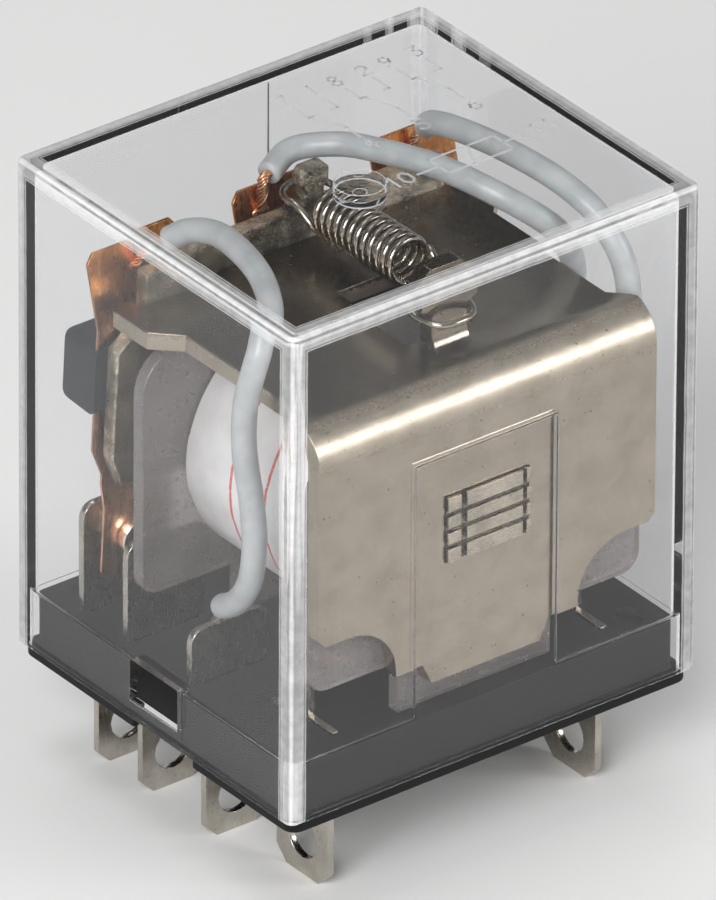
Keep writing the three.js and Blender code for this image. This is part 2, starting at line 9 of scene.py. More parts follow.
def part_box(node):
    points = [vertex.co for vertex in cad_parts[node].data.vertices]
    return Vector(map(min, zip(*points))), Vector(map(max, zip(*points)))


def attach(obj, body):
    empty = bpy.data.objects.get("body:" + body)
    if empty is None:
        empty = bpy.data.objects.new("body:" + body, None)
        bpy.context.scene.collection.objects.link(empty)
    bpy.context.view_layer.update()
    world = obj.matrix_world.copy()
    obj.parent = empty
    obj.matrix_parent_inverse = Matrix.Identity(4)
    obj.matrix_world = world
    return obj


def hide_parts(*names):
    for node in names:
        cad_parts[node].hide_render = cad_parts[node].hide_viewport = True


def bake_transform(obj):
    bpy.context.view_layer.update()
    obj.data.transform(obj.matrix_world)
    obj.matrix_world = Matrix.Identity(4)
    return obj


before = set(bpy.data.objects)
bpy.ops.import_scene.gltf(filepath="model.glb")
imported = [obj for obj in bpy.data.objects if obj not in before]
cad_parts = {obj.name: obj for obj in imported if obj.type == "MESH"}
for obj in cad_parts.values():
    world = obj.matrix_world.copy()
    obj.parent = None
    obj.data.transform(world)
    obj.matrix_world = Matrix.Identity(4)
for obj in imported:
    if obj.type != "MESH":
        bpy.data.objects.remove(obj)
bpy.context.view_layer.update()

MM = 0.001
rng = random.Random(7)


# ---------------------------------------------------------------- material building
class Look:
    """A procedural material. Pattern coordinates are in millimetres, in the part's own frame."""

    def __init__(self, name, slot_name):
        self.slot = slot_name
        self.material = bpy.data.materials.new(name)
        self.material.use_nodes = True
        self.tree = self.material.node_tree
        self.tree.nodes.clear()
        self.output = self.node("ShaderNodeOutputMaterial")
        self.shader = self.node("ShaderNodeBsdfPrincipled")
        self.link(self.shader.outputs[0], self.output.inputs["Surface"])
        coordinates = self.node("ShaderNodeTexCoord")
        scale = self.node("ShaderNodeMapping")
        scale.inputs["Scale"].default_value = (1 / MM, 1 / MM, 1 / MM)
        self.link(coordinates.outputs["Object"], scale.inputs["Vector"])
        self.mm = scale.outputs[0]

    def node(self, kind):
        return self.tree.nodes.new(kind)

    def link(self, a, b):
        self.tree.links.new(a, b)

    def feed(self, socket, value):
        if isinstance(value, bpy.types.NodeSocket):
            self.link(value, socket)
        else:
            socket.default_value = value

    def set(self, **values):
        for key, value in values.items():
            self.feed(self.shader.inputs[key.replace("_", " ")], value)
        return self

    def stretched(self, scale):
        m = self.node("ShaderNodeMapping")
        m.inputs["Scale"].default_value = scale
        self.link(self.mm, m.inputs["Vector"])
        return m.outputs[0]

    def noise(self, per_mm, detail=3.0, rough=0.55, stretch=None):
        n = self.node("ShaderNodeTexNoise")
        n.inputs["Scale"].default_value = per_mm
        n.inputs["Detail"].default_value = detail
        n.inputs["Roughness"].default_value = rough
        self.link(self.stretched(stretch) if stretch else self.mm, n.inputs["Vector"])
        return n.outputs["Fac"]

    def cells(self, per_mm):
        n = self.node("ShaderNodeTexVoronoi")
        n.inputs["Scale"].default_value = per_mm
        self.link(self.mm, n.inputs["Vector"])
        return n.outputs["Distance"]

    def axis(self, name):
        s = self.node("ShaderNodeSeparateXYZ")
        self.link(self.mm, s.inputs[0])
        return s.outputs[name]

    def math(self, operation, a, b=0.0):
        m = self.node("ShaderNodeMath")
        m.operation = operation
        for socket, value in zip(m.inputs, (a, b)):
            self.feed(socket, value)
        return m.outputs[0]

    def ramp(self, value, low, high, out_low=0.0, out_high=1.0, smooth=True):
        m = self.node("ShaderNodeMapRange")
        m.interpolation_type = "SMOOTHSTEP" if smooth else "LINEAR"
        self.feed(m.inputs["Value"], value)
        for key, number in (("From Min", low), ("From Max", high), ("To Min", out_low), ("To Max", out_high)):
            m.inputs[key].default_value = number
        return m.outputs[0]

    def mix(self, fac, a, b):
        m = self.node("ShaderNodeMix")
        m.data_type = "RGBA"
        self.feed(m.inputs["Factor"], fac)
        for socket, value in ((m.inputs[6], a), (m.inputs[7], b)):
            self.feed(socket, value if isinstance(value, bpy.types.NodeSocket) else (*value, 1.0))
        return m.outputs[2]

    def profile(self, value, stops):
        """A piecewise-linear curve of value, as grey."""
        r = self.node("ShaderNodeValToRGB")
        elements = r.color_ramp.elements
        while len(elements) < len(stops):
            elements.new(0.5)
        for element, (place, grey) in zip(elements, stops):
            element.position = place
        for element, (place, grey) in zip(elements, stops):
            element.color = (grey, grey, grey, 1.0)
        self.feed(r.inputs[0], value)
        return r.outputs[0]

    def bump(self, height, depth_mm):
        b = self.node("ShaderNodeBump")
        b.inputs["Strength"].default_value = 1.0
        b.inputs["Distance"].default_value = depth_mm * MM
        self.feed(b.inputs["Height"], height)
        self.link(b.outputs[0], self.shader.inputs["Normal"])
        return self

    def let_lamps_through(self, tint):
        """Light from the lamps passes the surface unbent; sight lines still refract."""
        path = self.node("ShaderNodeLightPath")
        fac = self.math("MAXIMUM", path.outputs["Is Shadow Ray"], path.outputs["Is Diffuse Ray"])
        clear = self.node("ShaderNodeBsdfTransparent")
        clear.inputs["Color"].default_value = (*tint, 1.0)
        blend = self.node("ShaderNodeMixShader")
        self.link(fac, blend.inputs[0])
        self.link(self.output.inputs["Surface"].links[0].from_socket, blend.inputs[1])
        self.link(clear.outputs[0], blend.inputs[2])
        self.link(blend.outputs[0], self.output.inputs["Surface"])
        return self


def plated_metal(name, slot_name, light, dark, rough, grain=(1.0, 1.0, 0.12), pits=0.5, bump_mm=0.006,
                 painted_shade=None, worn=None):
    """Plated sheet: soft mottling, rolling lines, small pits and a few dark stains.

    painted_shade darkens it along an axis as painted shade, given as (axis, from, to, depth); worn scuffs a
    band of heights.
    """
    k = Look(name, slot_name)
    mottle = k.noise(0.45, 6.0, 0.62)
    lines = k.noise(9.0, 3.0, 0.6, stretch=grain)
    pit = k.ramp(k.cells(1.7), 0.05, 0.16, 1.0, 0.0)
    chance = k.ramp(k.noise(0.9, 2.0), 0.52, 0.6)
    spot = k.math("MULTIPLY", k.math("MULTIPLY", pit, chance), pits)
    base = k.mix(k.ramp(mottle, 0.3, 0.72), light, dark)
    # painted shade: past a level along one axis the colour darkens towards near black, unevenly
    if painted_shade:
        axis, low, high, depth = painted_shade
        place = k.math("ADD", k.axis(axis), k.math("MULTIPLY", k.noise(1.2, 4.0, 0.7), 0.2))
        reach = k.ramp(place, low, high)
        uneven = k.ramp(k.noise(0.16, 3.0), 0.35, 0.65, 0.75 * depth, depth)
        amount = k.math("MULTIPLY", reach, uneven)
        base = k.mix(amount, base, (0.05, 0.044, 0.036))
    brushed = k.ramp(lines, 0.2, 0.8, rough - 0.06, rough + 0.09)
    surface = k.math("ADD", brushed, k.math("MULTIPLY", spot, 0.3))
    if worn:
        low, high = worn
        middle = k.math("ABSOLUTE", k.math("SUBTRACT", k.axis("Z"), (low + high) / 2))
        band = k.ramp(middle, (high - low) * 0.3, (high - low) * 0.5, 1.0, 0.0)
        scuff = k.math("MULTIPLY", band, k.ramp(k.noise(3.5, 5.0, 0.7), 0.3, 0.7, 0.10, 0.26))
        surface = k.math("ADD", surface, scuff)
    k.set(Base_Color=k.mix(spot, base, tuple(0.35 * c for c in dark)), Metallic=1.0, Roughness=surface)
    relief = k.math("ADD", k.math("MULTIPLY", lines, 0.45), k.math("MULTIPLY", mottle, 1.2))
    return k.bump(k.math("SUBTRACT", relief, spot), bump_mm)


def moulded(name, slot_name, colour, rough, speckle=0.25, bump_mm=0.01):
    """Moulded plastic: fine grain, flow marks, dust specks."""
    k = Look(name, slot_name)
    flow = k.noise(0.25, 4.0, 0.6)
    grain = k.noise(14.0, 2.0, 0.6)
    dust = k.math("MULTIPLY", k.ramp(k.cells(1.3), 0.02, 0.07, 1.0, 0.0), k.ramp(k.noise(0.7), 0.5, 0.62))
    base = k.mix(k.ramp(flow, 0.3, 0.7), tuple(0.82 * c for c in colour), tuple(1.2 * c for c in colour))
    k.set(
        Base_Color=k.mix(k.math("MULTIPLY", dust, speckle), base, (0.6, 0.58, 0.55)),
        Roughness=k.ramp(flow, 0.25, 0.75, rough - 0.07, rough + 0.08),
        Specular_IOR_Level=0.2,
    )
    return k.bump(k.math("ADD", k.math("MULTIPLY", grain, 0.5), flow), bump_mm)


LOOKS = {}


def make_looks():
    # nickel on the yoke: its top, above Z 27.1 mm, is darkened as a painted dark reflection
    LOOKS["nickel"] = plated_metal(
        "nickel plate", "nickel_plate", (0.46, 0.40, 0.325), (0.38, 0.33, 0.26), 0.18,
        grain=(0.35, 0.8, 0.35), pits=0.7, bump_mm=0.0015,
        painted_shade=("Z", 27.1, 27.3, 0.62), worn=(24.4, 27.15))
    LOOKS["armature"] = plated_metal(
        "armature plate", "nickel_plate", (0.72, 0.64, 0.51), (0.07, 0.062, 0.05), 0.16,
        grain=(0.5, 1.0, 1.0), pits=0.9, bump_mm=0.3)
    # core iron: all of it behind the staked front end is darkened to near black as painted shade inside the
    # bobbin
    LOOKS["core"] = plated_metal(
        "core iron", "core_steel", (0.60, 0.53, 0.44), (0.40, 0.35, 0.28), 0.24,
        grain=(0.1, 1.0, 1.0), pits=0.8, painted_shade=("Y", -12.95, -12.85, 0.95))
    LOOKS["tin"] = plated_metal(
        "tin plate", "tin_plate", (0.56, 0.53, 0.47), (0.42, 0.39, 0.34), 0.22,
        grain=(1.0, 1.0, 0.2), pits=0.5, bump_mm=0.0015)
    LOOKS["silver"] = plated_metal(
        "contact silver", "contact_silver", (0.86, 0.80, 0.72), (0.70, 0.55, 0.42), 0.22, pits=0.2)
    LOOKS["spring"] = plated_metal(
        "spring wire", "spring_steel", (0.44, 0.40, 0.34), (0.30, 0.27, 0.23), 0.13,
        grain=(1.0, 1.0, 1.0), pits=0.2, bump_mm=0.002)
    LOOKS["solder"] = plated_metal(
        "weld pad", "contact_silver", (0.62, 0.55, 0.46), (0.30, 0.25, 0.20), 0.30,
        grain=(1.0, 1.0, 1.0), pits=0.6, bump_mm=0.05)
    LOOKS["base"] = moulded("base moulding", "base_black", (0.006, 0.006, 0.0065), 0.5)
    LOOKS["block"] = moulded("armature block", "insulator_grey", (0.026, 0.028, 0.033), 0.45, 0.4)

    # copper leaf: burnished amber near the weld, brown tarnish below, clean copper at the tail
    k = Look("copper leaf", "copper")
    tarnish = k.noise(0.6, 5.0, 0.6)
    height = k.math("ADD", k.axis("Z"), k.math("MULTIPLY", tarnish, 4.0))
    clean = k.mix(k.ramp(tarnish, 0.35, 0.7), (0.86, 0.50, 0.32), (0.62, 0.30, 0.17))
    brown = k.mix(k.ramp(tarnish, 0.35, 0.65), (0.34, 0.20, 0.14), (0.46, 0.29, 0.21))
    amber = k.mix(k.ramp(tarnish, 0.4, 0.62), (0.62, 0.27, 0.08), (0.30, 0.12, 0.04))
    low = k.mix(k.ramp(height, 13.0, 20.0), clean, brown)
    k.set(
        Base_Color=k.mix(k.ramp(height, 27.0, 31.0), low, amber),
        Metallic=1.0,
        Roughness=k.ramp(k.noise(3.0, 3.0, 0.6, (1.0, 1.0, 0.1)), 0.3, 0.7, 0.22, 0.38),
    )
    LOOKS["leaf"] = k.bump(k.noise(1.5, 4.0, 0.6), 0.015)

    k = Look("copper strand", "copper")
    k.set(
        Base_Color=k.mix(k.noise(3.0), (0.88, 0.52, 0.33), (0.50, 0.24, 0.13)),
        Metallic=1.0,
        Roughness=k.ramp(k.noise(6.0), 0.3, 0.7, 0.2, 0.4),
    )
    LOOKS["strand"] = k.bump(k.noise(12.0), 0.004)

    # enamelled wire, turns 0.14 mm apart along the coil
    k = Look("magnet wire", "magnet_wire")
    turns = k.math("SINE", k.math("MULTIPLY", k.axis("Y"), 2 * math.pi / 0.14))
    k.set(
        Base_Color=k.mix(k.noise(0.8), (0.50, 0.17, 0.05), (0.30, 0.09, 0.03)),
        Metallic=0.7,
        Roughness=k.ramp(k.noise(2.0), 0.3, 0.7, 0.25, 0.4),
    )
    LOOKS["wire"] = k.bump(k.ramp(turns, -1.0, 1.0, smooth=False), 0.06)

    # white wrap tape with two red rules round the coil, its top under the yoke painted near black as painted
    # shade
    k = Look("coil wrap", "coil_paper")
    y = k.math("ADD", k.axis("Y"), k.math("MULTIPLY", k.noise(0.4), 0.15))

    def rule(place, half):
        away = k.math("ABSOLUTE", k.math("SUBTRACT", y, place))
        return k.ramp(away, half, half + 0.05, 1.0, 0.0)

    ink = k.math("MAXIMUM", rule(WRAP_RULES[0], 0.09), rule(WRAP_RULES[1], 0.09))
    worn = k.math("MULTIPLY", ink, k.ramp(k.noise(4.0, 3.0), 0.32, 0.5, 0.55, 0.95))
    paper = k.mix(k.ramp(k.noise(0.5, 4.0), 0.3, 0.7), (0.90, 0.88, 0.87), (0.80, 0.78, 0.77))
    printed = k.mix(worn, paper, (0.72, 0.06, 0.04))
    # painted shade: above Z 25 mm, under the yoke, the wrap is coloured near black
    painted_shade_under_yoke = k.ramp(k.math("ADD", k.axis("Z"), k.math("MULTIPLY", k.noise(2.0), 0.3)), 24.9, 25.1)
    k.set(
        Base_Color=k.mix(painted_shade_under_yoke, printed, (0.035, 0.032, 0.03)),
        Roughness=k.ramp(k.noise(5.0), 0.3, 0.7, 0.38, 0.55),
    )
    k.set(Subsurface_Weight=0.15, Subsurface_Scale=0.3 * MM)
    LOOKS["wrap"] = k.bump(k.math("ADD", k.noise(6.0), k.noise(0.6, 2.0)), 0.02)

    # grey lead insulation
    k = Look("lead insulation", "lead_grey")
    soft = k.noise(0.7, 4.0, 0.6)
    k.set(
        Base_Color=k.mix(k.ramp(soft, 0.3, 0.7), (0.50, 0.525, 0.53), (0.41, 0.435, 0.44)),
        Roughness=k.ramp(k.noise(3.0), 0.3, 0.7, 0.30, 0.44),
    )
    k.set(Subsurface_Weight=0.35, Subsurface_Scale=0.8 * MM)
    LOOKS["lead"] = k.bump(k.math("ADD", soft, k.math("MULTIPLY", k.noise(7.0), 0.3)), 0.03)

    # smoke nylon of the bobbin
    k = Look("smoke nylon", "bobbin_smoke")
    cloud = k.noise(0.35, 4.0, 0.6)
    k.set(
        Base_Color=k.mix(k.ramp(cloud, 0.3, 0.7), (0.50, 0.46, 0.44), (0.36, 0.33, 0.32)),
        Roughness=k.ramp(k.noise(2.5), 0.3, 0.7, 0.16, 0.28),
        Transmission_Weight=0.72,
        IOR=1.5,
    )
    k.bump(k.math("ADD", cloud, k.math("MULTIPLY", k.noise(8.0), 0.2)), 0.02)
    LOOKS["bobbin"] = k.let_lamps_through((0.45, 0.42, 0.40))

    # clear polycarbonate: fine rub marks, a little dust, and painted highlight bands, hazy and clear in turn,
    # along the edges where two walls meet
    k = Look("clear cover", "cover_clear")
    inset = [
        k.math("SUBTRACT", COVER_HALF[0], k.math("ABSOLUTE", k.axis("X"))),
        k.math("SUBTRACT", COVER_HALF[1], k.math("ABSOLUTE", k.axis("Y"))),
        k.math("SUBTRACT", COVER_TOP, k.axis("Z")),
    ]
    nearer = k.math("MINIMUM", inset[0], inset[1])
    farther = k.math("MAXIMUM", inset[0], inset[1])
    from_edge = k.math("MAXIMUM", nearer, k.math("MINIMUM", farther, inset[2]))
    wander = k.math("MULTIPLY", k.math("SUBTRACT", k.noise(0.35, 3.0), 0.5), 0.12)
    # painted highlight: bands of haze by distance from the edges stand in for the light the thick corners
    # bend
    painted_edge_bands = k.profile(
        k.math("DIVIDE", k.math("ADD", from_edge, wander), 1.3),
        ((0.0, 0.58), (0.16, 0.66), (0.24, 0.30), (0.40, 0.36), (0.62, 0.40), (0.74, 0.44),
         (0.82, 0.16), (0.88, 0.46), (0.95, 0.0)))
    painted_edge_haze = k.math("MULTIPLY", painted_edge_bands, k.ramp(k.noise(1.2, 4.0, 0.6), 0.2, 0.8, 0.75, 1.1))
    rub = k.ramp(k.noise(1.6, 6.0, 0.75, (0.12, 0.5, 1.0)), 0.60, 0.72)
    dust = k.math("MULTIPLY", k.ramp(k.cells(0.9), 0.012, 0.04, 1.0, 0.0), k.ramp(k.noise(0.35), 0.5, 0.6))
    # real dust joined with the painted highlight bands along the edges
    dust_and_painted_edge_haze = k.math("MAXIMUM", painted_edge_haze, k.math("MULTIPLY", dust, 0.8))
    k.set(
        Base_Color=k.mix(dust, (0.965, 0.968, 0.975), (0.55, 0.53, 0.50)),
        Roughness=k.math("ADD", k.math("MULTIPLY", rub, 0.05), 0.012),
        Transmission_Weight=k.math("SUBTRACT", 0.992, dust_and_painted_edge_haze),
        IOR=1.33,
    )
    LOOKS["cover"] = k.let_lamps_through((0.955, 0.958, 0.965))

    # rims of the moulding gate, pale and frosted as a painted highlight on the raised disc's edges
    k = Look("gate rim", "cover_clear")
    k.set(
        Base_Color=k.mix(k.noise(3.0), (0.95, 0.95, 0.96), (0.80, 0.80, 0.82)),
        Roughness=k.ramp(k.noise(6.0), 0.3, 0.7, 0.12, 0.3),
        Transmission_Weight=0.6,
        IOR=1.33,
    )
    LOOKS["gate"] = k.let_lamps_through((0.9, 0.9, 0.9))

    # pale printing on the roof
    k = Look("roof print", "cover_clear")
    k.set(
        Base_Color=k.mix(k.noise(2.0), (0.80, 0.80, 0.81), (0.70, 0.70, 0.71)),
        Alpha=0.62,
        Roughness=k.ramp(k.noise(5.0), 0.2, 0.8, 0.45, 0.6),
    )
    LOOKS["print"] = k


WRAP_RULES = (-4.6, -1.2)
COVER_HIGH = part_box("cover")[1] / MM
COVER_HALF, COVER_TOP = (COVER_HIGH.x, COVER_HIGH.y), COVER_HIGH.z
make_looks()


# ---------------------------------------------------------------- mesh building
def keep(mesh_source, name, look, body="root", replaces=(), smooth=True):
    """A finished mesh becomes a piece: material, body, and the CAD nodes it stands for."""
    mesh = bpy.data.meshes.new(name)
    mesh_source.to_mesh(mesh)
    mesh_source.free()
    obj = bpy.data.objects.new(name, mesh)
    bpy.context.scene.collection.objects.link(obj)
    mesh.materials.append(LOOKS[look].material)
    mesh.polygons.foreach_set("use_smooth", [smooth] * len(mesh.polygons))
    if body:
        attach(obj, body)
    if replaces:
        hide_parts(*replaces)
    return obj


def softened(node, look, width, segments=2, body="root", angle=30):
    """A CAD node again with flat faces merged and its edges rounded over."""
    bm = bmesh.new()
    bm.from_mesh(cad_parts[node].data)
    bmesh.ops.remove_doubles(bm, verts=bm.verts, dist=2e-6)
    bmesh.ops.dissolve_limit(bm, angle_limit=math.radians(0.4), verts=bm.verts, edges=bm.edges)
    obj = keep(bm, node + "_body", look, body, (node,))
    bevel = obj.modifiers.new("edges", "BEVEL")
    bevel.width = width * MM
    bevel.segments = segments
    bevel.limit_method = "ANGLE"
    bevel.angle_limit = math.radians(angle)
    bevel.use_clamp_overlap = True
    normals = obj.modifiers.new("normals", "WEIGHTED_NORMAL")
    normals.keep_sharp = False
    normals.weight = 90
    return obj


def ring_frames(points):
    """Position, side and lift vectors along a path, without twist."""
    frames = []
    side = None
    for i, p in enumerate(points):
        ahead = points[min(i + 1, len(points) - 1)] - points[max(i - 1, 0)]
        ahead.normalize()
        if side is None:
            side = ahead.orthogonal().normalized()
        side = (side - ahead * side.dot(ahead)).normalized()
        frames.append((p, side, ahead.cross(side)))
    return frames


def sweep(bm, points, radius, sides=12):
    """A tube along points (mm) with flat ends; radius is a number or a function of the share travelled."""
    points = [Vector(p) for p in points]
    rings = []
    last = len(points) - 1
    for i, (p, side, lift) in enumerate(ring_frames(points)):
        r = radius(i / last) if callable(radius) else radius
        ring = []
        for k in range(sides):
            a = 2 * math.pi * k / sides
            ring.append(bm.verts.new((p + side * (r * math.cos(a)) + lift * (r * math.sin(a))) * MM))
        rings.append(ring)
    for a, b in zip(rings, rings[1:]):
        for k in range(sides):
            m = (k + 1) % sides
            bm.faces.new((a[k], a[m], b[m], b[k]))
    bm.faces.new(list(reversed(rings[0])))
    bm.faces.new(rings[-1])


def smooth_path(points, steps):
    """Catmull-Rom through points, steps samples a span."""
    p = [Vector(q) for q in points]
    p = [2 * p[0] - p[1], *p, 2 * p[-1] - p[-2]]
    out = []
    for a, b, c, d in zip(p, p[1:], p[2:], p[3:]):
        for i in range(steps):
            t = i / steps
            square = (2 * a - 5 * b + 4 * c - d) * t * t
            cube = (3 * b - a - 3 * c + d) * t ** 3
            out.append(0.5 * (2 * b + (c - a) * t + square + cube))
    out.append(p[-2])
    return out


def mm_box(node):
    low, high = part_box(node)
    return low / MM, high / MM


# ---------------------------------------------------------------- fixed metal and plastic
softened("base", "base", 0.12)
softened("cover", "cover", 0.10, 3)
softened("yoke", "nickel", 0.16, 3)
softened("core", "core", 0.08)
softened("shading_ring", "leaf", 0.08)
softened("bobbin", "bobbin", 0.15, 3)
softened("coil_winding", "wire", 0.10, 2, angle=50)
for kind in ("nc", "no", "com"):
    for pole in (1, 2, 3):
        softened(f"{kind}_terminal_{pole}", "tin", 0.05)
for side in (1, 2):
    softened(f"coil_terminal_{side}", "tin", 0.05)
    softened(f"coil_lead_{side}", "strand", 0.02, 1, angle=80)

# ---------------------------------------------------------------- moving pieces
softened("armature", "armature", 0.16, 3, "armature")
softened("armature_insulator", "block", 0.12, 2, "armature")
for pole in (1, 2, 3):
    softened(f"contact_spring_{pole}", "leaf", 0.05, 2, "armature")
for pole in (1, 2, 3):
    for kind in ("nc", "no"):
        softened(f"{kind}_contact_{pole}", "silver", 0.12, 3)
    softened(f"moving_contact_{pole}", "silver", 0.15, 3, "armature")

# coil wrap: a smooth oval sleeve with the tape's end lapped on the left
low, high = mm_box("coil_wrap")
WRAP_CENTRE = Vector(((low.x + high.x) / 2, 0, (low.z + high.z) / 2))
WRAP_HALF = ((high.x - low.x) / 2, (high.z - low.z) / 2)
LAP, LAP_SPAN, LAP_STEP = math.radians(168), math.radians(24), 0.05
WRAP_THICKNESS = 0.28


def wrap_radius(angle, inner):
    """How far the wrap's surface lies from its outermost oval, with the tape's end lapped over."""
    if inner:
        return -WRAP_THICKNESS
    lapped = (angle - LAP) % (2 * math.pi) < LAP_SPAN
    return 0.0 if lapped else -LAP_STEP


bm = bmesh.new()
rows = []
STEPS = 160
for y, inner, inset in (
        (low.y, True, 0.0), (low.y, False, 0.05), (low.y + 0.05, False, 0.0),
        (high.y - 0.05, False, 0.0), (high.y, False, 0.05), (high.y, True, 0.0)):
    row = []
    for k in range(STEPS):
        angle = 2 * math.pi * k / STEPS
        grow = wrap_radius(angle, inner) - inset
        row.append(bm.verts.new(Vector((
            WRAP_CENTRE.x + (WRAP_HALF[0] + grow) * math.cos(angle), y,
            WRAP_CENTRE.z + (WRAP_HALF[1] + grow) * math.sin(angle))) * MM))
    rows.append(row)
for a, b in zip(rows, rows[1:] + rows[:1]):
    for k in range(STEPS):
        m = (k + 1) % STEPS
        bm.faces.new((a[k], b[k], b[m], a[m]))
bmesh.ops.recalc_face_normals(bm, faces=bm.faces)
keep(bm, "coil_wrap_body", "wrap", "root", ("coil_wrap",))

# ---------------------------------------------------------------- return spring
SPRING_REAR, SPRING_FRONT = Vector((0.95, 4.2, 29.75)), Vector((0.45, -4.9, 30.3))
SPRING_RADIUS, SPRING_WIRE, SPRING_TURNS = 1.45, 0.245, 12.5
EYE_CENTRE, EYE_RADIUS = Vector((1.05, 6.2, 29.95)), 1.7
FRONT_EYE = [
    (1.95, -6.3, 29.4), (2.12, -7.6, 29.2), (1.75, -8.9, 29.15), (0.95, -9.45, 29.15), (-0.5, -9.45, 29.15),
    (-1.3, -8.9, 29.15), (-1.68, -7.6, 29.2), (-1.5, -6.8, 29.25),
]
EYE_FROM, EYE_SWEEP, COIL_FROM = -45, 270, 210          # degrees
TURN_STEPS = 12
control = []
for i in range(TURN_STEPS):
    a = math.radians(EYE_FROM + EYE_SWEEP * i / TURN_STEPS)
    control.append(EYE_CENTRE + EYE_RADIUS * Vector((math.cos(a), math.sin(a), 0)))
for i in range(int(SPRING_TURNS * TURN_STEPS) + 1):
    s = i / (SPRING_TURNS * TURN_STEPS)
    a = math.radians(COIL_FROM) + s * SPRING_TURNS * 2 * math.pi
    control.append(SPRING_REAR.lerp(SPRING_FRONT, s) + SPRING_RADIUS * Vector((math.cos(a), 0, math.sin(a))))
control += [Vector(p) for p in FRONT_EYE]
bm = bmesh.new()
sweep(bm, smooth_path(control, 3), SPRING_WIRE, 12)
obj = keep(bm, "return_spring_body", "spring", None, ("return_spring",))
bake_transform(obj)

# ---------------------------------------------------------------- flexible leads
LEADS = [
    [
        (-9.8, 6.3, 30.4), (-9.2, 5.0, 31.4), (-8.8, 2.8, 32.1), (-9.3, -0.3, 32.5),
        (-10.2, -3.6, 32.5), (-11.5, -6.3, 32.0), (-12.6, -7.4, 30.8), (-13.0, -7.3, 29.3),
        (-13.1, -6.6, 26.6), (-13.1, -6.5, 23.4), (-13.0, -7.1, 20.0), (-12.9, -7.3, 17.0),
        (-12.6, -6.4, 13.7), (-12.1, -4.4, 11.2), (-11.6, -2.3, 9.7),
    ],
    [
        (-0.9, 7.9, 31.2), (1.5, 8.7, 31.7), (3.8, 7.2, 32.0), (5.0, 4.8, 32.3),
        (6.7, 0.6, 32.4), (8.3, -3.3, 31.7), (10.8, -5.3, 29.6), (12.7, -4.7, 26.9),
        (13.2, -4.0, 23.0), (13.2, -3.8, 18.0), (13.1, -3.9, 12.0), (12.4, -4.2, 8.3),
        (10.2, -4.4, 6.0), (6.6, -4.3, 5.5), (3.2, -3.9, 5.5), (1.2, -3.1, 5.5),
    ],
    [
        (10.6, 7.0, 31.0), (10.3, 5.8, 31.9), (10.4, 3.4, 32.5), (11.0, 0.1, 32.6),
        (11.8, -4.4, 32.2), (12.5, -7.6, 31.0), (13.0, -9.2, 29.0), (13.3, -9.6, 26.0),
        (13.3, -9.3, 22.0), (13.1, -8.9, 17.5), (12.3, -7.9, 13.5), (11.3, -6.0, 11.2),
        (11.0, -3.6, 9.9), (10.9, -2.3, 9.6),
    ],
]
LEAF_X = (-10.6, 0.0, 10.6)
LEAF_TOP = (8.6, 28.6)                   # (y, z) of the weld on the leaf's front face
WELD_SHIFT = (0.4, -1.2, -0.3)           # each weld's offset across its leaf
FEET = ((-11.4, -1.2, 7.5), (0.4, -2.0, 5.3), (10.8, -1.2, 7.5))
LEAD_RADIUS, LEAD_NIP, NIP_SHARE = 0.79, 0.05, 0.006   # the insulation is nipped in at its cut ends
STRANDS, STRAND_RADIUS = 7, 0.11
WELD_SEED, FOOT_SEED = 20, 40


def rope(bm, path, radius, strands, turns):
    """Bare stranded wire: strands wound about a path."""
    frames = ring_frames([Vector(p) for p in path])
    last = len(frames) - 1
    for k in range(strands):
        phase = 2 * math.pi * k / strands
        wobble = rng.uniform(0.85, 1.15)
        track = []
        for i, (p, side, lift) in enumerate(frames):
            s = i / last
            a = phase + turns * 2 * math.pi * s
            r = radius * wobble * (1 - 0.15 * math.sin(math.pi * s))
            track.append(p + side * (r * math.cos(a)) + lift * (r * math.sin(a)))
        sweep(bm, track, STRAND_RADIUS, 6)


def pad(bm, centre, half, seed):
    """A weld lump: a squashed ball with a beaten surface."""
    made = bmesh.ops.create_icosphere(bm, subdivisions=4, radius=1.0)["verts"]
    shape = random.Random(seed)
    bumps = []
    for _ in range(14):
        way = Vector([shape.uniform(-1, 1) for _ in range(3)]).normalized()
        bumps.append((way, shape.uniform(0.08, 0.22)))
    for v in made:
        n = v.co.normalized()
        grow = 0.85 + sum(weight * max(0.0, n.dot(way)) ** 8 for way, weight in bumps)
        v.co = Vector((centre[i] + half[i] * n[i] * grow for i in range(3))) * MM


def lead_radius(share):
    """The insulation's radius at a share of its length."""
    at_end = share < NIP_SHARE or share > 1 - NIP_SHARE
    return LEAD_RADIUS - LEAD_NIP * at_end


for i, route in enumerate(LEADS):
    bm = bmesh.new()
    sweep(bm, smooth_path(route, 10), lead_radius, 24)
    lead = keep(bm, f"lead_wire_{i + 1}_body", "lead", None, (f"lead_wire_{i + 1}",))
    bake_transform(lead)

    start = Vector(route[0])
    tip = Vector((LEAF_X[i] + WELD_SHIFT[i], LEAF_TOP[0] - 0.35, LEAF_TOP[1]))
    back = (start - Vector(route[1])).normalized()
    knee = (start + back * 0.6) * 0.4 + (tip + Vector((0, -0.2, 0.9))) * 0.6
    bm = bmesh.new()
    rope(bm, smooth_path([start - back * 0.5, start + back * 0.5, knee, tip], 10), 0.28, STRANDS, 1.6)
    pad(bm, tip + Vector((0, 0.12, -0.5)), (0.95, 0.36, 0.75), WELD_SEED + i)
    keep(bm, f"lead_weld_{i + 1}", "strand", "armature")

    end = Vector(route[-1])
    foot = Vector(FEET[i])
    out = (end - Vector(route[-2])).normalized()
    bm = bmesh.new()
    rope(bm, smooth_path([end - out * 0.5, end + out * 0.3, (end + foot) / 2, foot], 10), 0.26, STRANDS, 1.2)
    pad(bm, foot + Vector((0, 0.02, -0.2)), (0.8, 0.24, 0.6), FOOT_SEED + i)
    keep(bm, f"lead_foot_{i + 1}", "solder", "root")

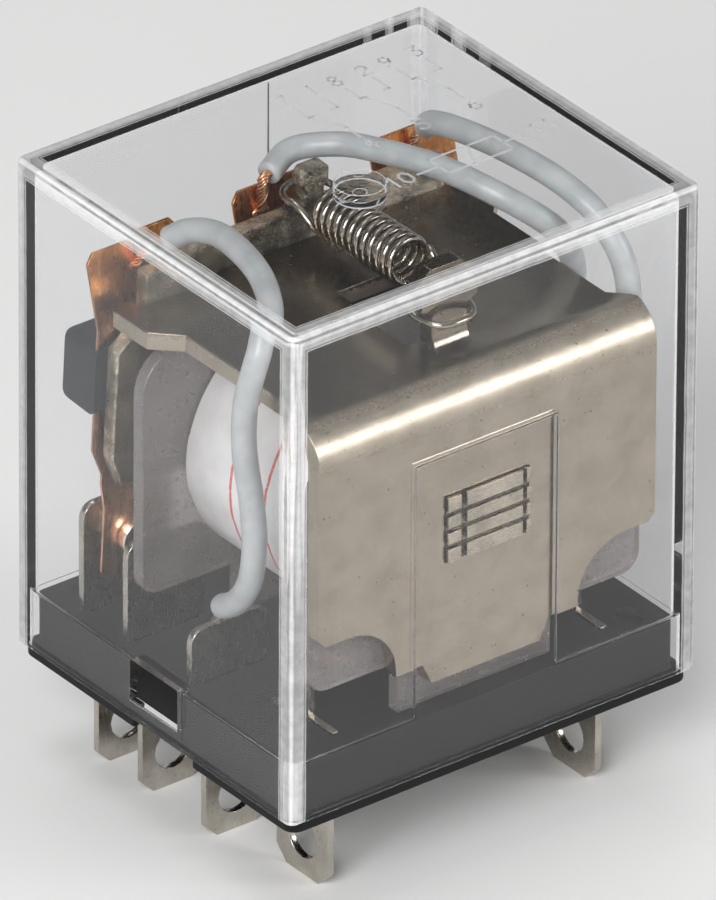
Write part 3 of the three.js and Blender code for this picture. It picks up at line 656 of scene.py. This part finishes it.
# ---------------------------------------------------------------- rims of the moulding gate, under the roof, drawn pale as a painted highlight
GATE_X, GATE_Y = -0.75, -1.15
GATE_RINGS = ((1.60, 33.80, 0.05), (1.62, 35.10, 0.03), (0.45, 33.74, 0.025))   # radius, height, thickness
RING_STEPS = 48
bm = bmesh.new()
for radius, level, thick in GATE_RINGS:
    ring = []
    for i in range(RING_STEPS + 1):
        turn = 2 * math.pi * i / RING_STEPS
        ring.append((GATE_X + radius * math.cos(turn), GATE_Y + radius * math.sin(turn), level))
    sweep(bm, ring, thick, 8)
keep(bm, "gate_rims", "gate", "root")

# ---------------------------------------------------------------- printing on the roof
DIGITS = {
    "0": [[(0.2, 0), (0, 0.25), (0, 0.75), (0.2, 1), (0.4, 1), (0.6, 0.75), (0.6, 0.25), (0.4, 0), (0.2, 0)]],
    "1": [[(0.1, 0.75), (0.35, 1), (0.35, 0)]],
    "2": [[(0, 0.8), (0.15, 1), (0.45, 1), (0.6, 0.8), (0.6, 0.62), (0, 0), (0.6, 0)]],
    "3": [[(0, 1), (0.6, 1), (0.28, 0.6), (0.6, 0.42), (0.6, 0.18), (0.42, 0), (0.15, 0), (0, 0.15)]],
    "4": [[(0.45, 0), (0.45, 1), (0, 0.35), (0.6, 0.35)]],
    "5": [[(0.55, 1), (0.08, 1), (0.05, 0.55), (0.4, 0.6), (0.6, 0.4), (0.6, 0.18), (0.4, 0),
           (0.15, 0), (0, 0.12)]],
    "6": [[(0.5, 1), (0.1, 0.6), (0, 0.3), (0.15, 0), (0.45, 0), (0.6, 0.25), (0.45, 0.52),
           (0.15, 0.52), (0, 0.3)]],
    "7": [[(0, 1), (0.6, 1), (0.2, 0)]],
    "8": [[(0.3, 0.53), (0.05, 0.75), (0.2, 1), (0.4, 1), (0.55, 0.75), (0.3, 0.53), (0, 0.27),
           (0.15, 0), (0.45, 0), (0.6, 0.27), (0.3, 0.53)]],
    "9": [[(0.1, 0), (0.5, 0.4), (0.6, 0.7), (0.45, 1), (0.15, 1), (0, 0.75), (0.15, 0.48),
           (0.45, 0.48), (0.6, 0.7)]],
}
ROOF = mm_box("cover")[1].z
PRINT_TOP, PRINT_LOW = ROOF - 0.03, ROOF - 0.07


def stroke(bm, points, width):
    """A flat printed line through points (x, y)."""
    for (x0, y0), (x1, y1) in zip(points, points[1:]):
        d = Vector((x1 - x0, y1 - y0, 0))
        if d.length < 1e-6:
            continue
        d.normalize()
        n = Vector((-d.y, d.x, 0)) * (width / 2)
        a = Vector((x0, y0, 0)) - d * (width / 2)
        b = Vector((x1, y1, 0)) + d * (width / 2)
        corners = [a - n, b - n, b + n, a + n]
        low_ring = [bm.verts.new(Vector((c.x, c.y, PRINT_LOW)) * MM) for c in corners]
        top_ring = [bm.verts.new(Vector((c.x, c.y, PRINT_TOP)) * MM) for c in corners]
        bm.faces.new(top_ring)
        bm.faces.new(list(reversed(low_ring)))
        for k in range(4):
            m = (k + 1) % 4
            bm.faces.new((low_ring[k], low_ring[m], top_ring[m], top_ring[k]))


def number(bm, text, x, y, size, width):
    for character in text:
        for line in DIGITS[character]:
            stroke(bm, [(x + px * size, y + py * size) for px, py in line], width)
        x += 0.85 * size


bm = bmesh.new()
INK = 0.17
for k, (x, labels) in enumerate(((2.6, ("1", "4", "7")), (6.6, ("2", "5", "8")), (10.6, ("3", "6", "9")))):
    number(bm, labels[2], x - 1.45, 9.0, 1.1, INK)
    number(bm, labels[0], x + 0.75, 9.0, 1.1, INK)
    number(bm, labels[1], x - 0.4, 1.6, 1.2, INK)
    stroke(bm, [(x - 1.1, 8.5), (x - 1.1, 6.9), (x - 0.6, 6.9)], INK)
    stroke(bm, [(x + 1.1, 8.5), (x + 1.1, 6.9), (x + 0.6, 6.9)], INK)
    stroke(bm, [(x, 3.2), (x, 4.6), (x - 0.9, 7.0)], INK)
stroke(bm, [(4.2, -3.6), (9.2, -3.6), (9.2, -1.6), (4.2, -1.6), (4.2, -3.6)], INK)
stroke(bm, [(6.2, -3.6), (7.2, -1.6)], INK)
stroke(bm, [(4.2, -2.6), (2.6, -2.6)], INK)
stroke(bm, [(9.2, -2.6), (10.8, -2.6)], INK)
number(bm, "10", 0.4, -3.1, 1.2, INK)
number(bm, "11", 11.4, -3.1, 1.2, INK)
bmesh.ops.recalc_face_normals(bm, faces=bm.faces)
keep(bm, "roof_print", "print", "root", smooth=False)

# ---------------------------------------------------------------- floor, light, camera
FLOOR_HALF = 3.0
floor_level = mm_box("coil_terminal_1")[0].z * MM      # the blades' tips stand on it
bm = bmesh.new()
bmesh.ops.create_grid(bm, x_segments=1, y_segments=1, size=FLOOR_HALF)
mesh = bpy.data.meshes.new("floor")
bm.to_mesh(mesh)
bm.free()
floor = bpy.data.objects.new("floor", mesh)
floor.location = (0, 0, floor_level)
bpy.context.scene.collection.objects.link(floor)
k = Look("floor", "")
k.set(Base_Color=k.mix(k.noise(0.01), (0.90, 0.90, 0.90), (0.88, 0.88, 0.88)), Roughness=0.7)
k.set(Specular_IOR_Level=0.1)
mesh.materials.append(k.material)


AIM = Vector((0, 0, 0.015))


def softbox(name, place, size, power):
    """A rectangular lamp aimed at the middle of the object."""
    data = bpy.data.lights.new(name, "AREA")
    data.shape = "RECTANGLE"
    data.size, data.size_y = size
    data.energy = power
    lamp = bpy.data.objects.new(name, data)
    lamp.location = place
    lamp.rotation_euler = (AIM - Vector(place)).to_track_quat("-Z", "Y").to_euler()
    bpy.context.scene.collection.objects.link(lamp)


softbox("key", (-0.62, -0.40, 0.48), (0.5, 0.4), 6.4)
softbox("front", (0.55, -0.75, 0.35), (0.4, 0.3), 3.0)
softbox("top", (-0.15, 0.10, 0.85), (0.3, 0.3), 0.8)
softbox("rear", (0.25, 0.55, 0.75), (0.35, 0.25), 0.5)

world = bpy.data.worlds.new("studio")
world.use_nodes = True
bpy.context.scene.world = world
tree = world.node_tree
coordinates = tree.nodes.new("ShaderNodeTexCoord")
split = tree.nodes.new("ShaderNodeSeparateXYZ")
sky = tree.nodes.new("ShaderNodeValToRGB")
tree.links.new(coordinates.outputs["Generated"], split.inputs[0])
tree.links.new(split.outputs["Z"], sky.inputs[0])
tree.links.new(sky.outputs[0], tree.nodes["Background"].inputs["Color"])
# bright at the horizon, a dark band above it for the metal to mirror, paler overhead
HORIZON, ZENITH = (1.0, 0.99, 0.98, 1), (0.75, 0.75, 0.76, 1)
BAND = ((0.2, 1.0), (0.34, 0.05), (0.66, 0.04), (0.82, 0.6))
stops = sky.color_ramp.elements
stops[0].position, stops[0].color = 0.0, HORIZON
stops[1].position, stops[1].color = 1.0, ZENITH
for place, grey in BAND:
    stop = stops.new(place)
    stop.color = (grey, grey * 0.985, grey * 0.96, 1)
tree.nodes["Background"].inputs["Strength"].default_value = 0.66

camera_data = bpy.data.cameras.new("camera")
camera_data.lens = 940.0
camera_data.sensor_fit = "VERTICAL"
camera_data.sensor_height = 36.0
camera_data.sensor_width = 36.0
camera_data.clip_start = 0.1
camera_data.clip_end = 20.0
camera = bpy.data.objects.new("camera", camera_data)
AZIMUTH, ELEVATION, ROLL = (math.radians(a) for a in (-37.63, 30.645, 0.327))
CAMERA_PLACE = (-0.759009, -0.984665, 0.751993)
level = math.cos(ELEVATION)
back = Vector((math.sin(AZIMUTH) * level, -math.cos(AZIMUTH) * level, math.sin(ELEVATION)))
right = Vector((math.cos(AZIMUTH), math.sin(AZIMUTH), 0))
up = back.cross(right)
right, up = right * math.cos(ROLL) + up * math.sin(ROLL), up * math.cos(ROLL) - right * math.sin(ROLL)
camera.matrix_world = Matrix.Translation(CAMERA_PLACE) @ Matrix((right, up, back)).transposed().to_4x4()
bpy.context.scene.collection.objects.link(camera)
scene = bpy.context.scene
scene.camera = camera
scene.view_settings.view_transform = "Standard"
scene.view_settings.look = "None"
scene.cycles.transparent_max_bounces = 24
scene.cycles.transmission_bounces = 48
scene.cycles.max_bounces = 48
